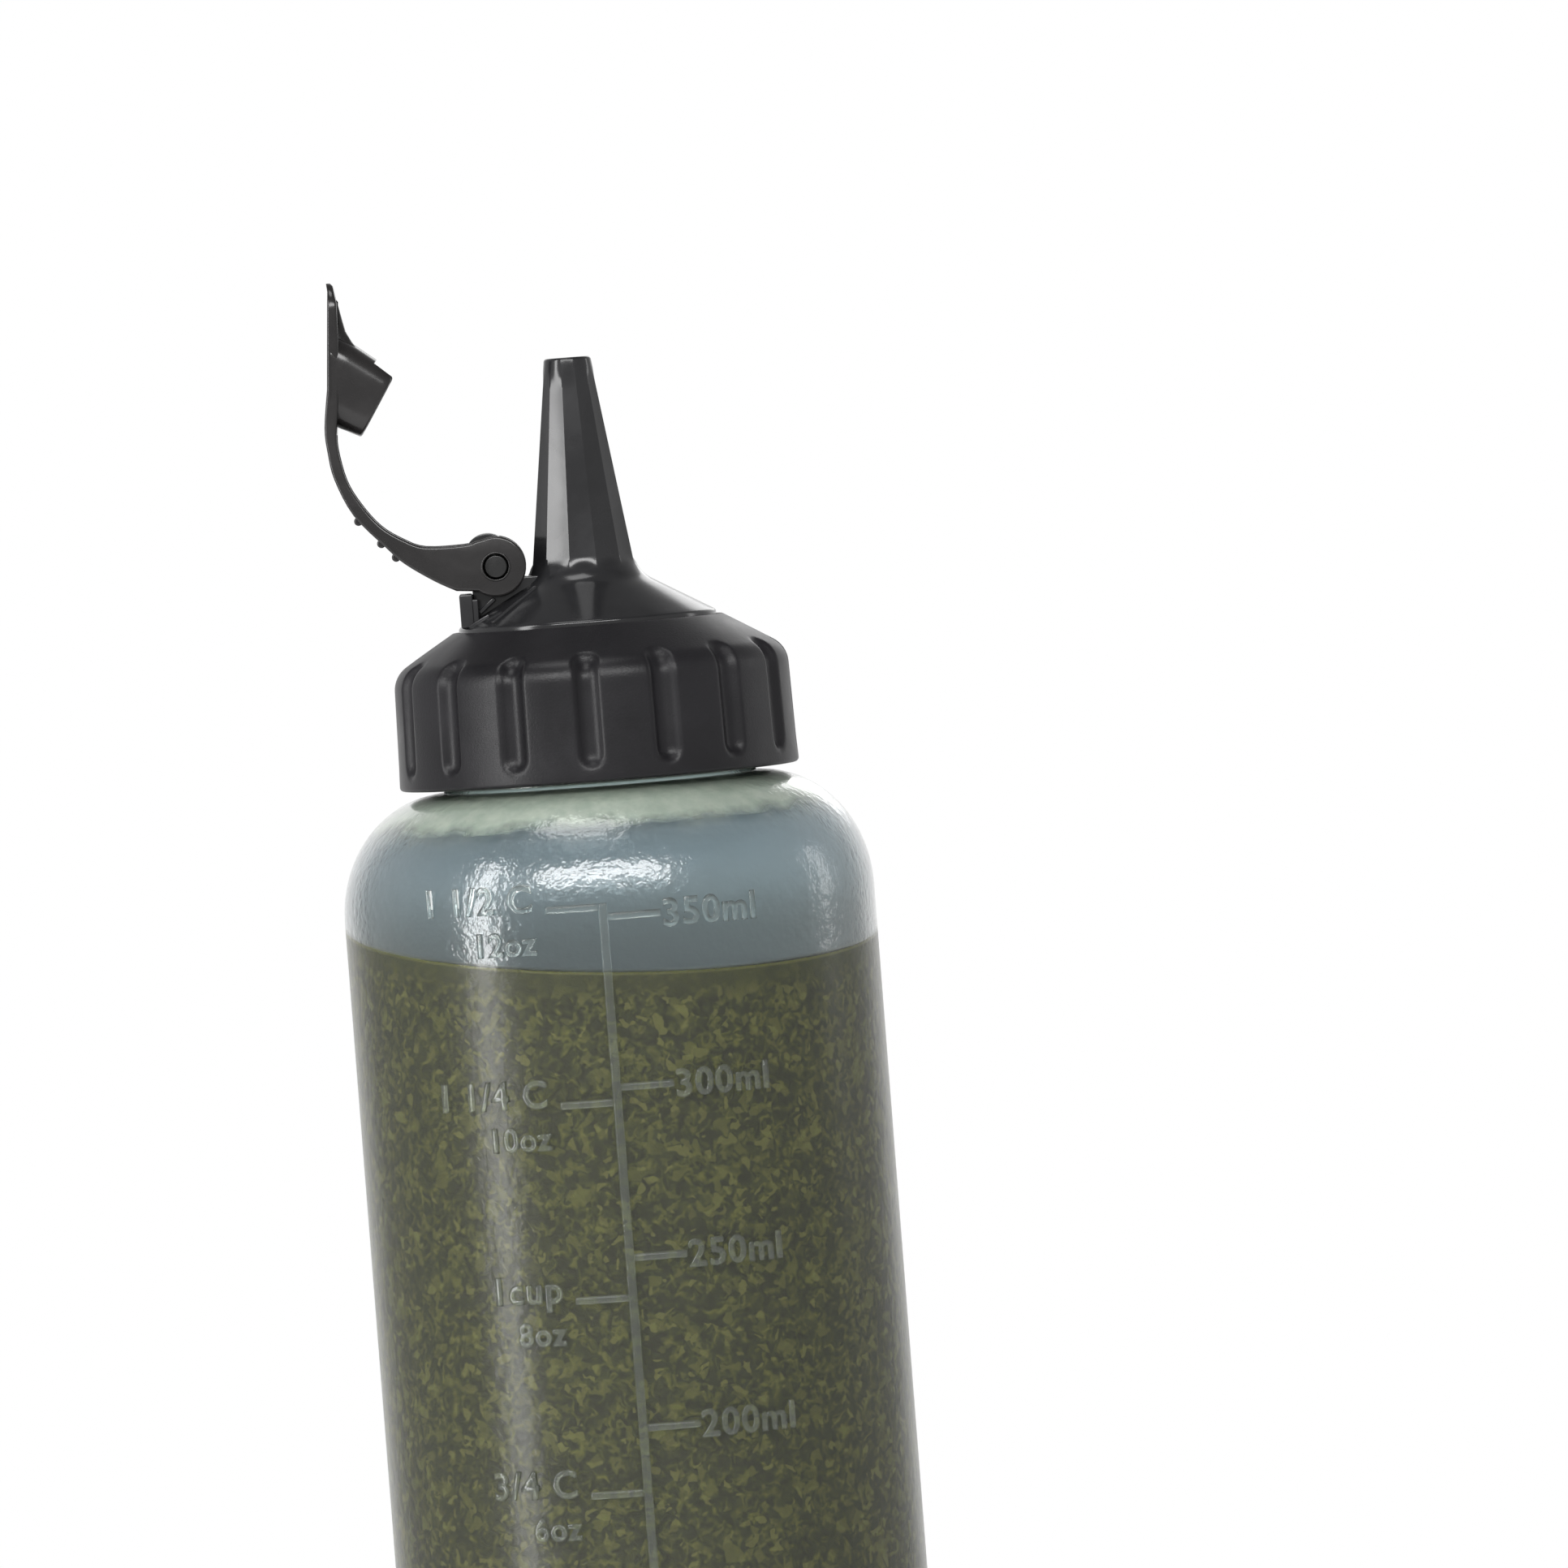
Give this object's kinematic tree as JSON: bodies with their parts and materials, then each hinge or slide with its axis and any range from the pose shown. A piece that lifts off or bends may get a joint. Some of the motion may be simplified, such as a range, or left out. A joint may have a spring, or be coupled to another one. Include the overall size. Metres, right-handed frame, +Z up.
{
  "type": "squeeze bottle",
  "caption": "Round translucent squeeze bottle with a screwed spout cap, a soft fluted grip ring, a tapering nozzle and a hinged flip cover for its tip, filled with herb dressing.",
  "frame": {"origin": "centre of the base, on the plane that the bottle stands on", "axes": "+Z up along the bottle and its nozzle, -X towards the hinge of the flip cover, Y along the hinge pin"},
  "size_m": [0.0598, 0.0598, 0.2128],
  "materials": {
    "frosted_polythene": "translucent, slightly rippled blow-moulded skin",
    "herb_dressing": "opaque olive green sauce with flecks of herbs",
    "seal_silicone": "matt",
    "gloss_black": "glossy moulded",
    "cover_black": "glossy moulded",
    "soft_grip": "satin, finely textured",
    "pin_black": "plain"
  },
  "bodies": {
    "bottle_body": {"bottle": "frosted_polythene", "dressing": "herb_dressing"},
    "washer_body": {"seal_washer": "seal_silicone"},
    "cap_body": {"spout_cap": "gloss_black", "grip_ring": "soft_grip", "hinge_pin": "pin_black"},
    "cover_body": {"tip_cover": "cover_black"}
  },
  "joints": [
    {"name": "cap_lift", "type": "slide", "parent": "bottle_body", "child": "washer_body", "axis": [0, 0, 1], "range_m": [0, 0.01058]},
    {"name": "cap_turn", "type": "hinge", "parent": "washer_body", "child": "cap_body", "pos_m": [0, 0, 0.1654], "axis": [0, 0, 1], "range_deg": [0, 900]},
    {"name": "cover_hinge", "type": "hinge", "parent": "cap_body", "child": "cover_body", "pos_m": [-0.00978, 0, 0.17977], "axis": [0, 1, 0], "range_deg": [0, 57.5]}
  ],
  "couplings": [
    {"joint": "cap_lift", "follows": "cap_turn", "m_per_rad": 0.00067323}
  ]
}
